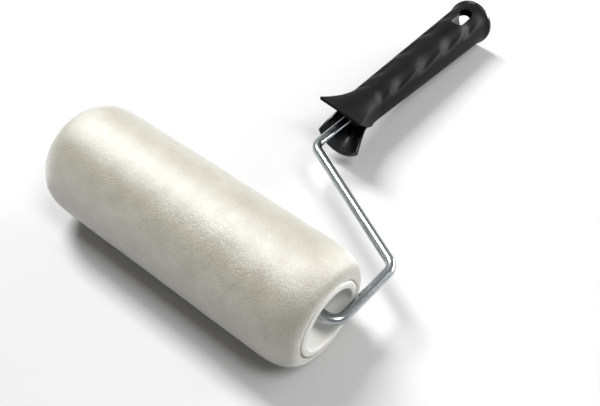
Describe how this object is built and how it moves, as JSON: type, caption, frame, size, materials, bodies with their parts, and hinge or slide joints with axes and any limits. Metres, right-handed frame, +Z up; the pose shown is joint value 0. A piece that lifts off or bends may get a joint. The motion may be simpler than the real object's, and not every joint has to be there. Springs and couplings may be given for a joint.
{
  "type": "paint roller",
  "caption": "Paint roller: a plush sleeve with rounded ends that spins on a bent wire frame, with a flared two-part handle.",
  "frame": {"origin": "on the floor, under the middle of the overall box, with the roller lying on its pile and on the rim of its handle", "axes": "+X along the sleeve axle towards the end that the wire enters, +Y along the handle away from the sleeve, +Z up"},
  "size_m": [0.2468, 0.3997, 0.087],
  "materials": {
    "plush": "short dense white plush pile",
    "foam": "open-cell padding foam",
    "core_plastic": "natural polypropylene",
    "cap_plastic": "off-white moulded plastic, satin",
    "bush_plastic": "white acetal, smooth",
    "plated_wire": "bright zinc plate",
    "plated_steel": "bright zinc plate",
    "spring_steel": "blued spring steel",
    "brass_insert": "plain turned brass, knurled",
    "gloss_black": "glossy black moulded plastic",
    "matte_black": "matte charcoal soft-touch"
  },
  "bodies": {
    "frame": {"wire_frame": "plated_wire", "near_thrust_washer": "bush_plastic", "far_thrust_washer": "bush_plastic", "stop_collar": "plated_steel", "retaining_clip": "spring_steel", "anchor_sleeve": "brass_insert", "handle_core": "gloss_black", "grip_cover": "matte_black"},
    "sleeve": {"pile_cover": "plush", "foam_underlay": "foam", "core_tube": "core_plastic", "guide_tube": "core_plastic", "near_end_cap": "cap_plastic", "far_end_cap": "cap_plastic", "near_bearing_bush": "bush_plastic", "far_bearing_bush": "bush_plastic", "tip_cover": "cap_plastic"}
  },
  "joints": [
    {"name": "sleeve_spin", "type": "hinge", "parent": "frame", "child": "sleeve", "pos_m": [-0.00438, -0.15641, 0.0435], "axis": [1, 0, 0], "continuous": true}
  ]
}
